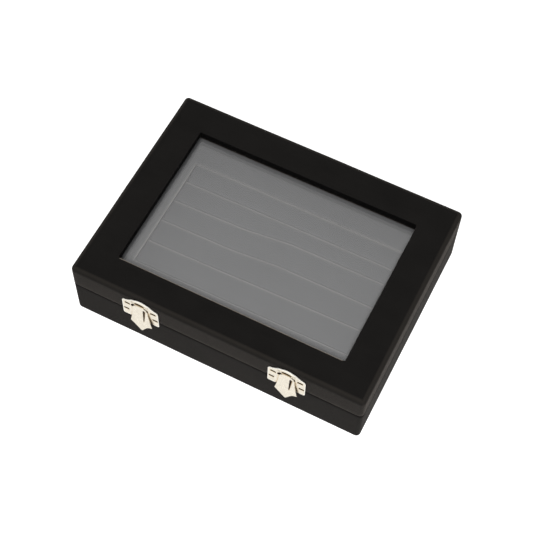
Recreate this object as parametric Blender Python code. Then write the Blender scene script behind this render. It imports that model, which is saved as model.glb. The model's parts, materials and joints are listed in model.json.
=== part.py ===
"""Cufflink display box: a velvet covered case with a glazed lid, soft rolls inside,
two tongue catches in front and two leaf hinges behind.

Metres, +Z up, the front faces -Y. The origin is the centre of the underside.
"""
import math

import bmesh
import bpy
from mathutils import Matrix, Vector

# Outer size, measured over the velvet
box_length = 0.200
box_depth = 0.150
base_height = 0.0305
seam_gap = 0.0005
lid_height = 0.019
corner_radius = 0.003
top_edge_radius = 0.003
foot_edge_radius = 0.0018
rim_edge_radius = 0.001

# Velvet wrap and the gap that every glued or resting face keeps
velvet = 0.0006
seat_gap = 0.0003
inner_corner_radius = 0.0006

# Boards of the case
wall_board = 0.006
floor_board = 0.0024
underside_sheet = 0.0005
underside_inset = 0.0025
velvet_turn_under = 0.012
velvet_turn_in = 0.008

# Window in the lid: the front rail is a little narrower than the other three
front_rail_width = 0.0205
back_rail_width = 0.0223
side_rail_width = 0.0224
rail_board = 0.0046
window_edge_radius = 0.0012
window_corner_radius = 0.0010
glass = 0.002
glass_overlap = 0.009
bead_height = 0.0036
bead_setback = 0.0017
mitre_gap = 0.0001

# Padded insert
border_side_width = 0.0168
border_front_width = 0.0250
roll_rim_drop = 0.0005
border_rim_drop = 0.0006
border_edge_radius = 0.0012
roll_gap = 0.0002
roll_crown = 0.0011
roll_shoulder_radius = 0.0026
roll_foot_draw_share = 0.25
roll_end_draw = 0.0012
insert_card_board = 0.0008

# Catch: rises and drops are from the lid's lower edge, depths from the front velvet
catch_end_distance = 0.050
metal = 0.0008
plate_width = 0.025
plate_drop = 0.0017
plate_wing_rise = 0.0146
plate_corner_radius = 0.0012
plate_waist = 0.0004
arch_top_rise = 0.0184
arch_width = 0.0164
arch_spring_rise = 0.0120
arch_leg_rise = 0.0075
arch_projection = 0.0025
arch_edge_round = 0.0005
mouth_width = 0.0128
mouth_top_rise = 0.0167
groove_height = 0.0010
groove_depth = 0.0004
groove_length = 0.0034
groove_end_margin = 0.0006
groove_place_shares = (0.33, 0.80)
tongue_tip_drop = 0.0140
tongue_shoulder_drop = 0.0064
tongue_spring_rise = 0.0105
tongue_top_rise = 0.0159
tongue_top_width = 0.0104
tongue_shoulder_width = 0.0150
tongue_flare = 0.0005
dart_length = 0.0150
dart_width = 0.0032
dart_depth = 0.0005
catch_pin_rise = 0.0150
catch_pin_radius = 0.0005
pin_clearance = 0.00005
barrel_clearance = 0.0001
barrel_wall = 0.00035
barrel_length = 0.0060
pin_seat = 0.0014
striker_width = 0.011
striker_top_drop = 0.0020
striker_bottom_drop = 0.0064
striker_metal = 0.0006
striker_nose_drop = 0.0050
striker_nose_width = 0.0052
striker_nose_radius = 0.0007

# Nails of the catches and hinges
nail_head_radius = 0.0009
nail_head_height = 0.00035
nail_head_edge_share = 0.87
nail_shank_radius = 0.0004
nail_length = 0.0055
nail_hole_clearance = 0.0001
nail_head_gap = 0.0001
plate_nail_rise = 0.0050
plate_nail_spacing = 0.0064
striker_nail_drop = 0.0033
striker_nail_spacing = 0.0080

# Hinge
hinge_end_distance = 0.040
leaf_width = 0.020
leaf_height = 0.009
knuckle_count = 3
hinge_knuckle_radius = 0.0015
hinge_pin_radius = 0.0007
hinge_back_gap = 0.0004
knuckle_gap = 0.0002
hinge_pin_head = 0.0004
hinge_nail_spacing = 0.012
hinge_nail_place_share = 0.62

# Where the creases between the rolls lie, as shares of the field from its front edge. The strips are
# cut and laid by hand, so the creases are not quite parallel.
crease_left_shares = (0.0, 0.209, 0.416, 0.619, 0.813, 1.0)
crease_right_shares = (0.0, 0.228, 0.447, 0.675, 0.822, 1.0)

# How a roll draws in towards its ends: each place as a share of the draw, with how much of it is used
roll_end_place_shares = (0.0, 0.25, 0.9, 3.0)
roll_end_draw_shares = (1.0, 0.45, 0.1, 0.0)

# How finely round shapes are drawn, and how cuts and merges are made
corner_steps = 4
edge_steps = 3
edge_round_steps = 2
round_sides = 12
small_sides = 8
tongue_steps = 12
cut_overrun = 0.002
merge_distance = 0.000004
smooth_angle_degrees = 35

# Powers that set how square or hollow a curve of the catch is
arch_power = 2.6
tongue_head_power = 2.4
tongue_side_power = 1.5
tongue_foot_power = 1.35

half_length = box_length / 2
half_depth = box_depth / 2
lid_bottom = base_height + seam_gap
box_height = lid_bottom + lid_height
wall_inner = velvet + seat_gap + wall_board
lining_inner = wall_inner + seat_gap + velvet
rail_bottom = box_height - velvet - seat_gap - rail_board
glass_top = rail_bottom - seat_gap
glass_bottom = glass_top - glass
bead_top = glass_bottom - seat_gap
bead_bottom = bead_top - bead_height
lining_top = bead_top - bead_height
base_skin_bottom = underside_sheet + seat_gap
floor_bottom = base_skin_bottom + velvet + seat_gap
floor_top = floor_bottom + floor_board
base_board_bottom = floor_top + seat_gap
base_board_top = base_height - velvet - seat_gap
lid_board_bottom = lid_bottom + velvet + seat_gap
insert_card_bottom = floor_top + seat_gap
insert_bottom = insert_card_bottom + insert_card_board + seat_gap
border_outer = lining_inner + seat_gap
roll_field_length = box_length - 2 * (border_outer + border_side_width)
roll_field_depth = box_depth - 2 * (border_outer + border_front_width)
roll_top_height = base_height - roll_rim_drop
border_top_height = base_height - border_rim_drop
hinge_spacing = box_length - 2 * hinge_end_distance
catch_spacing = box_length - 2 * catch_end_distance
hinge_axis_depth = half_depth + hinge_back_gap + hinge_knuckle_radius
hinge_axis_height = base_height + seam_gap / 2
plate_front = seat_gap + metal
plate_bottom_height = lid_bottom - plate_drop
plate_wing_height = lid_bottom + plate_wing_rise
plate_nail_height = lid_bottom + plate_nail_rise
arch_top_height = lid_bottom + arch_top_rise
arch_spring_height = lid_bottom + arch_spring_rise
arch_leg_height = lid_bottom + arch_leg_rise
mouth_top_height = lid_bottom + mouth_top_rise
tongue_tip_height = lid_bottom - tongue_tip_drop
tongue_shoulder_height = lid_bottom - tongue_shoulder_drop
tongue_spring_height = lid_bottom + tongue_spring_rise
tongue_top_height = lid_bottom + tongue_top_rise
catch_pin_height = lid_bottom + catch_pin_rise
striker_top_height = lid_bottom - striker_top_drop
striker_bottom_height = lid_bottom - striker_bottom_drop
striker_nose_height = lid_bottom - striker_nose_drop
striker_nail_height = lid_bottom - striker_nail_drop
catch_pin_depth = seat_gap / 2 + pin_seat
catch_pin_reach = (mouth_width + arch_width) / 4
barrel_bore_radius = catch_pin_radius + barrel_clearance
barrel_radius = barrel_bore_radius + barrel_wall
nail_hole_radius = nail_shank_radius + nail_hole_clearance
knuckle_width = leaf_width / knuckle_count
leaf_nail_reach = hinge_knuckle_radius + leaf_height * hinge_nail_place_share
quarter_turn = math.pi / 2


def clear_scene():
    for thing in list(bpy.data.objects):
        bpy.data.objects.remove(thing, do_unlink=True)


def make_material(name, colour, roughness, metallic=0.0, transmission=0.0):
    material = bpy.data.materials.new(name)
    material.use_nodes = True
    shader = material.node_tree.nodes["Principled BSDF"]
    shader.inputs["Base Color"].default_value = (*colour, 1.0)
    shader.inputs["Roughness"].default_value = roughness
    shader.inputs["Metallic"].default_value = metallic
    shader.inputs["Transmission Weight"].default_value = transmission
    return material


def add_object(name, mesh_data, material, parent=None, smooth=False):
    """Turns a bmesh into an object with its faces outward, parented where it moves."""
    bmesh.ops.recalc_face_normals(mesh_data, faces=mesh_data.faces)
    mesh = bpy.data.meshes.new(name)
    mesh_data.to_mesh(mesh)
    mesh_data.free()
    if smooth:
        mesh.shade_smooth()
        mesh.set_sharp_from_angle(angle=math.radians(smooth_angle_degrees))
    piece = bpy.data.objects.new(name, mesh)
    bpy.context.scene.collection.objects.link(piece)
    mesh.materials.append(material)
    if parent is not None:
        piece.parent = parent
        piece.matrix_parent_inverse = Matrix.Translation(-parent.location)
    return piece


def add_pivot(name, location, parent=None):
    pivot = bpy.data.objects.new(name, None)
    bpy.context.scene.collection.objects.link(pivot)
    pivot.location = location
    if parent is not None:
        pivot.parent = parent
        pivot.matrix_parent_inverse = Matrix.Translation(-parent.location)
    return pivot


def as_cutter(piece):
    piece.hide_render = True
    piece.display_type = "WIRE"
    return piece


def add_boolean(piece, label, mesh_data, operation):
    """Joins or cuts with another shape, which is kept as a hidden guide of the piece."""
    other = add_object(f"{piece.name}_{label}", mesh_data, piece.data.materials[0], piece.parent)
    modifier = piece.modifiers.new(operation.lower(), "BOOLEAN")
    modifier.operation = operation
    modifier.solver = "EXACT"
    modifier.object = as_cutter(other)


def join(piece, label, mesh_data):
    add_boolean(piece, label, mesh_data, "UNION")


def cut(piece, label, mesh_data):
    add_boolean(piece, label, mesh_data, "DIFFERENCE")


def rounded_rectangle(sides, radius):
    """Points of a rounded rectangle, anticlockwise from its front left corner."""
    left, right, front, back = sides
    centres = (
        (left + radius, front + radius, 2 * quarter_turn),
        (right - radius, front + radius, 3 * quarter_turn),
        (right - radius, back - radius, 0.0),
        (left + radius, back - radius, quarter_turn),
    )
    points = []
    for x, y, start in centres:
        for step in range(corner_steps + 1):
            angle = start + quarter_turn * step / corner_steps
            points.append((x + radius * math.cos(angle), y + radius * math.sin(angle)))
    return points


def outer_sides(inset):
    return (-half_length + inset, half_length - inset, -half_depth + inset, half_depth - inset)


def window_sides(outset):
    """The window opening, grown outward by outset."""
    return (
        -half_length + side_rail_width - outset,
        half_length - side_rail_width + outset,
        -half_depth + front_rail_width - outset,
        half_depth - back_rail_width + outset,
    )


def field_sides(outset):
    """The field of rolls, grown outward by outset."""
    x, y = roll_field_length / 2 + outset, roll_field_depth / 2 + outset
    return (-x, x, -y, y)


def outer_loop(inset, z):
    return (rounded_rectangle(outer_sides(inset), max(corner_radius - inset, inner_corner_radius)), z)


def window_loop(outset, z):
    return (rounded_rectangle(window_sides(outset), window_corner_radius + outset), z)


def quarter(start_angle, radius, sweep):
    """Offsets along a quarter circle, as pairs of (outward, up)."""
    places = []
    for step in range(edge_steps + 1):
        angle = start_angle + sweep * step / edge_steps
        places.append((radius * math.cos(angle), radius * math.sin(angle)))
    return places


def join_rings(mesh_data, ring, following):
    """A band of four sided faces between two rings with the same number of corners."""
    for index in range(len(ring)):
        after = (index + 1) % len(ring)
        mesh_data.faces.new((ring[index], ring[after], following[after], following[index]))


def loop_ring(loops):
    """A closed skin or frame: each loop is joined to the next and the last back to the first."""
    mesh_data = bmesh.new()
    rings = [[mesh_data.verts.new((x, y, z)) for x, y in points] for points, z in loops]
    for ring, following in zip(rings, rings[1:] + rings[:1]):
        join_rings(mesh_data, ring, following)
    return mesh_data


def prism(points, low, high, to_place=lambda a, b, c: (a, b, c)):
    """An outline pushed from low to high; to_place turns (a, b, level) into a position."""
    mesh_data = bmesh.new()
    face = mesh_data.faces.new([mesh_data.verts.new(to_place(a, b, low)) for a, b in points])
    pushed = bmesh.ops.extrude_face_region(mesh_data, geom=[face])["geom"]
    step = Vector(to_place(0, 0, high)) - Vector(to_place(0, 0, low))
    moved = [thing for thing in pushed if isinstance(thing, bmesh.types.BMVert)]
    bmesh.ops.translate(mesh_data, verts=moved, vec=step)
    return mesh_data


def mitred_board(side, outer_points, inner_points, bottom, top):
    """One side of a frame, cut at the middles of two corners. Sides go anticlockwise from the front."""
    per_corner = corner_steps + 1
    middle = corner_steps // 2
    count = len(outer_points)
    first, last = side * per_corner + middle, (side + 1) * per_corner + middle
    run = [index % count for index in range(first, last + 1)]
    if side == 3:
        run = [index % count for index in range(first, first + per_corner + 1)]
    along = 0 if side in (0, 2) else 1
    outline = [list(outer_points[index]) for index in run]
    outline += [list(inner_points[index]) for index in reversed(run)]
    centre = (max(p[along] for p in outline) + min(p[along] for p in outline)) / 2
    half_span = (max(p[along] for p in outline) - min(p[along] for p in outline)) / 2
    for point in outline:
        point[along] = centre + (point[along] - centre) * (1 - mitre_gap / half_span)
    return prism(outline, bottom, top)


def rod(radius, start, end, sides):
    """A faceted round bar between two points."""
    start, end = Vector(start), Vector(end)
    mesh_data = bmesh.new()
    bmesh.ops.create_cone(
        mesh_data, cap_ends=True, segments=sides, radius1=radius, radius2=radius, depth=(end - start).length
    )
    turn = (end - start).to_track_quat("Z", "Y").to_matrix().to_4x4()
    place = Matrix.Translation((start + end) / 2)
    bmesh.ops.transform(mesh_data, matrix=place @ turn, verts=mesh_data.verts)
    return mesh_data


def merge_meshes(parts):
    """Puts several closed shapes that do not touch in one bmesh, for use as a cutter."""
    whole = bmesh.new()
    for part in parts:
        mesh = bpy.data.meshes.new("part")
        bmesh.ops.recalc_face_normals(part, faces=part.faces)
        part.to_mesh(mesh)
        part.free()
        whole.from_mesh(mesh)
        bpy.data.meshes.remove(mesh)
    return whole


def box(x_range, y_range, z_range):
    (left, right), (front, back) = x_range, y_range
    return prism([(left, front), (right, front), (right, back), (left, back)], min(z_range), max(z_range))


def rectangle(middle_x, middle_z, width, height):
    """Corners of a rectangle round its middle."""
    left, right = middle_x - width / 2, middle_x + width / 2
    low, high = middle_z - height / 2, middle_z + height / 2
    return [(left, low), (right, low), (right, high), (left, high)]


def front_place(catch_x):
    """Places a point given across the catch, up, and out from the front velvet."""
    return lambda across, up, out: (catch_x + across, -half_depth - out, up)


def superellipse_height(across, half_width, rise, power):
    share = min(abs(across) / half_width, 1.0)
    return rise * (1.0 - share**power) ** (1.0 / power)


def nail_places():
    """Each nail's name, its seat under the head, the way it points out, and whether it holds the lid."""
    places = []
    for side, x in (("left", -catch_spacing / 2), ("right", catch_spacing / 2)):
        for hand, sign in (("left", -1), ("right", 1)):
            seat = -half_depth - plate_front - nail_head_gap
            place = (x + sign * plate_nail_spacing / 2, seat, plate_nail_height)
            places.append((f"catch_{side}_plate_nail_{hand}", place, -1, True))
            seat = -half_depth - seat_gap - striker_metal - nail_head_gap
            place = (x + sign * striker_nail_spacing / 2, seat, striker_nail_height)
            places.append((f"catch_{side}_striker_nail_{hand}", place, -1, False))
    for side, x in (("left", -hinge_spacing / 2), ("right", hinge_spacing / 2)):
        for hand, sign in (("left", -1), ("right", 1)):
            seat = half_depth + plate_front + nail_head_gap
            across = x + sign * hinge_nail_spacing / 2
            place = (across, seat, hinge_axis_height + leaf_nail_reach)
            places.append((f"hinge_{side}_lid_nail_{hand}", place, 1, True))
            place = (across, seat, hinge_axis_height - leaf_nail_reach)
            places.append((f"hinge_{side}_base_nail_{hand}", place, 1, False))
    return places


def nail_holes(for_lid, facing):
    """One cutter with the holes of every nail that enters the lid or the base from one side."""
    holes = []
    for _, (x, y, z), direction, in_lid in nail_places():
        if in_lid == for_lid and direction == facing:
            inner = y - direction * (nail_length + nail_head_gap + nail_hole_clearance)
            outer = y + direction * cut_overrun
            holes.append(rod(nail_hole_radius, (x, inner, z), (x, outer, z), small_sides))
    return merge_meshes(holes)


def cut_nail_holes(piece, for_lid, facing):
    label = "front_nail_holes" if facing < 0 else "back_nail_holes"
    cut(piece, label, nail_holes(for_lid, facing))


def make_nails(material, lid_pivot):
    for name, (x, y, z), facing, in_lid in nail_places():
        mesh_data = bmesh.new()
        profile = (
            (0.0, -nail_length),
            (nail_shank_radius, -nail_length + nail_shank_radius),
            (nail_shank_radius, 0.0),
            (nail_head_radius, 0.0),
            (nail_head_radius * nail_head_edge_share, nail_head_height * nail_head_edge_share),
            (0.0, nail_head_height),
        )
        corners = [mesh_data.verts.new((radius, 0, height)) for radius, height in profile]
        edges = [mesh_data.edges.new(pair) for pair in zip(corners, corners[1:])]
        bmesh.ops.spin(
            mesh_data, geom=corners + edges, cent=(0, 0, 0), axis=(0, 0, 1),
            angle=2 * math.pi, steps=small_sides, use_merge=True,
        )
        bmesh.ops.remove_doubles(mesh_data, verts=mesh_data.verts, dist=merge_distance)
        turn = Matrix.Rotation(-facing * quarter_turn, 4, "X")
        bmesh.ops.transform(mesh_data, matrix=Matrix.Translation((x, y, z)) @ turn, verts=mesh_data.verts)
        add_object(name, mesh_data, material, lid_pivot if in_lid else None, smooth=True)


def base_cover_loops():
    """Velvet round the base: turned under, up the outside, over the rim and a little way down inside."""
    loops = [outer_loop(velvet_turn_under, base_skin_bottom)]
    centre_inset, centre_z = foot_edge_radius, base_skin_bottom + foot_edge_radius
    for out, up in quarter(-quarter_turn, foot_edge_radius, quarter_turn):
        loops.append(outer_loop(centre_inset - out, centre_z + up))
    for out, up in quarter(0.0, rim_edge_radius, quarter_turn):
        loops.append(outer_loop(rim_edge_radius - out, base_height - rim_edge_radius + up))
    for out, up in quarter(quarter_turn, rim_edge_radius, quarter_turn):
        loops.append(outer_loop(lining_inner - rim_edge_radius - out, base_height - rim_edge_radius + up))
    lining_bottom = base_height - velvet_turn_in
    loops.append(outer_loop(lining_inner, lining_bottom))
    loops.append(outer_loop(lining_inner - velvet, lining_bottom))
    inner_radius = rim_edge_radius - velvet
    for out, up in quarter(math.pi, inner_radius, -quarter_turn):
        loops.append(outer_loop(lining_inner - rim_edge_radius - out, base_height - rim_edge_radius + up))
    for out, up in quarter(quarter_turn, inner_radius, -quarter_turn):
        loops.append(outer_loop(rim_edge_radius - out, base_height - rim_edge_radius + up))
    inner_foot = foot_edge_radius - velvet
    for out, up in quarter(0.0, inner_foot, -quarter_turn):
        loops.append(outer_loop(centre_inset - out, centre_z + up))
    loops.append(outer_loop(velvet_turn_under, base_skin_bottom + velvet))
    return loops


def lid_cover_loops():
    """Velvet round the lid: down inside, under the edge, up, over the top and down round the window."""
    loops = [outer_loop(lining_inner, lining_top - seat_gap)]
    low = lid_bottom + rim_edge_radius
    for out, up in quarter(math.pi, rim_edge_radius, quarter_turn):
        loops.append(outer_loop(lining_inner - rim_edge_radius - out, low + up))
    for out, up in quarter(-quarter_turn, rim_edge_radius, quarter_turn):
        loops.append(outer_loop(rim_edge_radius - out, low + up))
    for out, up in quarter(0.0, top_edge_radius, quarter_turn):
        loops.append(outer_loop(top_edge_radius - out, box_height - top_edge_radius + up))
    for out, up in quarter(quarter_turn, window_edge_radius, -quarter_turn):
        loops.append(window_loop(window_edge_radius - out, box_height - window_edge_radius + up))
    loops.append(window_loop(0.0, rail_bottom))
    loops.append(window_loop(velvet, rail_bottom))
    for out, up in quarter(0.0, window_edge_radius - velvet, quarter_turn):
        loops.append(window_loop(window_edge_radius - out, box_height - window_edge_radius + up))
    for out, up in quarter(quarter_turn, top_edge_radius - velvet, -quarter_turn):
        loops.append(outer_loop(top_edge_radius - out, box_height - top_edge_radius + up))
    for out, up in quarter(0.0, rim_edge_radius - velvet, -quarter_turn):
        loops.append(outer_loop(rim_edge_radius - out, low + up))
    for out, up in quarter(-quarter_turn, rim_edge_radius - velvet, -quarter_turn):
        loops.append(outer_loop(lining_inner - rim_edge_radius - out, low + up))
    loops.append(outer_loop(lining_inner - velvet, lining_top - seat_gap))
    return loops


def make_base(black_velvet, board, felt):
    cover = add_object("base_velvet_cover", loop_ring(base_cover_loops()), black_velvet)
    cut_nail_holes(cover, False, -1)
    cut_nail_holes(cover, False, 1)
    outer = rounded_rectangle(outer_sides(velvet + seat_gap), corner_radius - velvet - seat_gap)
    inner = rounded_rectangle(outer_sides(wall_inner), inner_corner_radius)
    for side, name in enumerate(("front", "right", "back", "left")):
        mesh_data = mitred_board(side, outer, inner, base_board_bottom, base_board_top)
        wall = add_object(f"base_{name}_wall", mesh_data, board)
        if name == "front":
            cut_nail_holes(wall, False, -1)
        if name == "back":
            cut_nail_holes(wall, False, 1)
    floor_outline = rounded_rectangle(outer_sides(foot_edge_radius), corner_radius)
    add_object("base_floor_board", prism(floor_outline, floor_bottom, floor_top), board)
    felt_outline = rounded_rectangle(outer_sides(underside_inset), corner_radius)
    add_object("base_underside_sheet", prism(felt_outline, 0.0, underside_sheet), felt)


def make_lid(black_velvet, board, glass_material, lid_pivot):
    cover = add_object("lid_velvet_cover", loop_ring(lid_cover_loops()), black_velvet, lid_pivot)
    cut_nail_holes(cover, True, -1)
    cut_nail_holes(cover, True, 1)
    names = ("front", "right", "back", "left")
    outer = rounded_rectangle(outer_sides(velvet + seat_gap), corner_radius - velvet - seat_gap)
    inner = rounded_rectangle(outer_sides(wall_inner), inner_corner_radius)
    for side, name in enumerate(names):
        mesh_data = mitred_board(side, outer, inner, lid_board_bottom, rail_bottom - seat_gap)
        wall = add_object(f"lid_{name}_wall", mesh_data, board, lid_pivot)
        if name == "front":
            cut_nail_holes(wall, True, -1)
        if name == "back":
            cut_nail_holes(wall, True, 1)
    edge = top_edge_radius - velvet
    rail_outer = rounded_rectangle(outer_sides(velvet + seat_gap + edge / 2), corner_radius)
    rail_inner = rounded_rectangle(window_sides(velvet + seat_gap), window_corner_radius)
    for side, name in enumerate(names):
        mesh_data = mitred_board(side, rail_outer, rail_inner, rail_bottom, rail_bottom + rail_board)
        add_object(f"lid_{name}_rail", mesh_data, board, lid_pivot)
    pane = rounded_rectangle(window_sides(glass_overlap), window_corner_radius)
    add_object("glass_pane", prism(pane, glass_bottom, glass_top), glass_material, lid_pivot)
    bead_outer = rounded_rectangle(outer_sides(lining_inner + seat_gap), inner_corner_radius)
    bead_inner = rounded_rectangle(window_sides(bead_setback), window_corner_radius)
    for side, name in enumerate(names):
        mesh_data = mitred_board(side, bead_outer, bead_inner, bead_bottom, bead_top)
        add_object(f"glass_{name}_bead", mesh_data, black_velvet, lid_pivot)


def make_insert(grey_velvet, card):
    """A card floor, a padded border round the field, and the row of rolls inside it."""
    card_outline = rounded_rectangle(outer_sides(wall_inner + seat_gap), inner_corner_radius)
    card_top = insert_card_bottom + insert_card_board
    add_object("insert_card", prism(card_outline, insert_card_bottom, card_top), card)
    loops = [outer_loop(border_outer, insert_bottom)]
    edge_height = border_top_height - border_edge_radius
    for out, up in quarter(0.0, border_edge_radius, quarter_turn):
        loops.append(outer_loop(border_outer + border_edge_radius - out, edge_height + up))
    for out, up in quarter(quarter_turn, border_edge_radius, -quarter_turn):
        outline = rounded_rectangle(field_sides(seat_gap + border_edge_radius - out), inner_corner_radius)
        loops.append((outline, edge_height + up))
    loops.append((rounded_rectangle(field_sides(seat_gap), inner_corner_radius), insert_bottom))
    add_object("insert_border", loop_ring(loops), grey_velvet)
    for number in range(1, len(crease_left_shares)):
        add_object(f"cufflink_roll_{number}", roll_form(number), grey_velvet, smooth=True)


def roll_section(width):
    """Outline of a roll's end: flat foot, sides drawn in at the foot, round shoulders, low crown."""
    half = width / 2
    height = roll_top_height - insert_bottom
    draw = roll_shoulder_radius * roll_foot_draw_share
    points = [(-half + draw, 0.0), (half - draw, 0.0), (half, roll_shoulder_radius)]
    shoulder_z = height - roll_crown - roll_shoulder_radius
    for step in range(edge_steps + 1):
        angle = quarter_turn * step / edge_steps
        x = half - roll_shoulder_radius + roll_shoulder_radius * math.cos(angle)
        z = shoulder_z + roll_shoulder_radius * math.sin(angle)
        points.append((x, z))
    crown_steps = 2 * edge_steps
    flat = half - roll_shoulder_radius
    for step in range(1, crown_steps):
        x = flat * (1 - 2 * step / crown_steps)
        points.append((x, height - roll_crown * (x / flat) ** 2))
    mirrored = [(-x, z) for x, z in reversed(points[2:3 + edge_steps + 1])]
    return points + mirrored


def crease_place(number, x):
    """How far back the crease behind a roll lies, at a place along the roll."""
    share = 0.5 + x / roll_field_length
    left, right = crease_left_shares[number], crease_right_shares[number]
    return roll_field_depth * (left + (right - left) * share - 0.5)


def roll_form(number):
    """A roll along X: its outline carried from end to end, drawn in and lowered towards both ends."""
    half = roll_field_length / 2
    stations = list(zip(roll_end_place_shares, roll_end_draw_shares))
    places = [(-half + place * roll_end_draw, draw) for place, draw in stations]
    places += [(0.0, 0.0)]
    places += [(half - place * roll_end_draw, draw) for place, draw in reversed(stations)]
    mesh_data = bmesh.new()
    rings = []
    for x, draw in places:
        front, back = crease_place(number - 1, x), crease_place(number, x)
        centre, width = (front + back) / 2, back - front - roll_gap
        shrink = 1 - draw * roll_end_draw / width
        lower = draw * roll_end_draw / (roll_top_height - insert_bottom)
        outline = roll_section(width)
        ring = [(x, centre + y * shrink, insert_bottom + z * (1 - lower)) for y, z in outline]
        rings.append([mesh_data.verts.new(point) for point in ring])
    for ring, following in zip(rings, rings[1:]):
        join_rings(mesh_data, ring, following)
    mesh_data.faces.new(rings[0])
    mesh_data.faces.new(rings[-1])
    return mesh_data


def plate_outline():
    """Half outline mirrored: straight foot, waisted wing ends with rounded corners, level top."""
    radius = plate_corner_radius
    centre = plate_width / 2 - radius
    right = []
    for out, up in quarter(-quarter_turn, radius, quarter_turn):
        right.append((centre + out, plate_bottom_height + radius + up))
    right.append((plate_width / 2 - plate_waist, (plate_bottom_height + plate_wing_height) / 2))
    for out, up in quarter(0.0, radius, quarter_turn):
        right.append((centre + out, plate_wing_height - radius + up))
    return right + [(-x, z) for x, z in reversed(right)]


def arch_outline(width, spring, top, foot):
    """A round headed shape from foot up, as across and up."""
    half = width / 2
    points = [(-half, foot), (half, foot)]
    for step in range(round_sides + 1):
        across = half * math.cos(math.pi * step / round_sides)
        points.append((across, spring + superellipse_height(across, half, top - spring, arch_power)))
    return points


def shape_arch(rim, catch_x):
    """Rounds the arch's front edge and cuts its legs on a slope that runs out into the plate."""
    place = front_place(catch_x)
    front = place(0, 0, arch_projection - merge_distance)[1]
    foot_level = arch_leg_height + arch_edge_round
    edges = []
    for edge in rim.edges:
        ends = [vertex.co for vertex in edge.verts]
        if all(end.y < front for end in ends) and any(end.z > foot_level for end in ends):
            edges.append(edge)
    bmesh.ops.bevel(
        rim, geom=edges, offset=arch_edge_round, segments=edge_round_steps, profile=0.5,
        affect="EDGES", material=-1, clamp_overlap=True,
    )
    foot = Vector(place(0, arch_leg_height, plate_front))
    slope = Vector(place(0, arch_spring_height, arch_projection)) - foot
    outward = slope.cross(Vector((1, 0, 0))).normalized()
    if outward.y > 0:
        outward.negate()
    geometry = rim.verts[:] + rim.edges[:] + rim.faces[:]
    bmesh.ops.bisect_plane(rim, geom=geometry, plane_co=foot, plane_no=outward, clear_outer=True)
    bmesh.ops.holes_fill(rim, edges=[edge for edge in rim.edges if edge.is_boundary], sides=0)


def make_catch_plate(side, x, material, lid_pivot):
    place = front_place(x)
    plate = prism(plate_outline(), seat_gap, plate_front, place)
    piece = add_object(f"catch_{side}_plate", plate, material, lid_pivot, smooth=True)
    arch = arch_outline(arch_width, arch_spring_height, arch_top_height, arch_leg_height)
    rim = prism(arch, seat_gap, arch_projection, place)
    shape_arch(rim, x)
    join(piece, "rim_guide", rim)
    hood = arch_outline(mouth_width, arch_spring_height, mouth_top_height, arch_leg_height - cut_overrun)
    cut(piece, "hood_cutter", prism(hood, plate_front, arch_projection + cut_overrun, place))
    mouth = arch_outline(mouth_width, arch_spring_height, mouth_top_height, arch_spring_height)
    cut(piece, "mouth_cutter", prism(mouth, -cut_overrun, arch_projection + cut_overrun, place))
    cuts = []
    for share in groove_place_shares:
        z = plate_bottom_height + (plate_wing_height - plate_bottom_height) * share
        for sign in (-1, 1):
            middle = sign * (plate_width / 2 - groove_end_margin - groove_length / 2)
            outline = rectangle(middle, z, groove_length, groove_height)
            cuts.append(prism(outline, plate_front - groove_depth, plate_front + cut_overrun, place))
    cut(piece, "groove_cutter", merge_meshes(cuts))
    y = -half_depth - catch_pin_depth
    reach = catch_pin_reach + pin_clearance
    ends = [(x - reach, y, catch_pin_height), (x + reach, y, catch_pin_height)]
    hole = rod(catch_pin_radius + pin_clearance, ends[0], ends[1], round_sides)
    cut(piece, "pin_hole_cutter", hole)
    holes = []
    for sign in (-1, 1):
        across = sign * plate_nail_spacing / 2
        front = place(across, plate_nail_height, plate_front + cut_overrun)
        back = place(across, plate_nail_height, -cut_overrun)
        holes.append(rod(nail_hole_radius, front, back, small_sides))
    cut(piece, "nail_cutter", merge_meshes(holes))


def tongue_depth(z):
    """How far the tongue's back stands out from the front velvet; it flares towards the tip."""
    share = max((catch_pin_height - z) / (catch_pin_height - tongue_tip_height), 0.0)
    return catch_pin_depth + barrel_radius - metal + tongue_flare * share**3


def dart_wedge(place):
    """The pressed V in the tongue: deepest below the barrel, running out to a point.

    It is drawn twice as wide as it cuts, because half of its depth stands out of the metal.
    """
    top = catch_pin_height - barrel_radius
    tip = top - dart_length
    front_at_top = tongue_depth(top) + metal
    front_at_tip = tongue_depth(tip) + metal
    mesh_data = bmesh.new()
    corners = (
        place(-dart_width, top, front_at_top + dart_depth),
        place(dart_width, top, front_at_top + dart_depth),
        place(0, top, front_at_top - dart_depth),
        place(0, tip, front_at_tip + dart_depth),
    )
    for corner in corners:
        mesh_data.verts.new(corner)
    bmesh.ops.convex_hull(mesh_data, input=mesh_data.verts[:])
    return mesh_data


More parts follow.
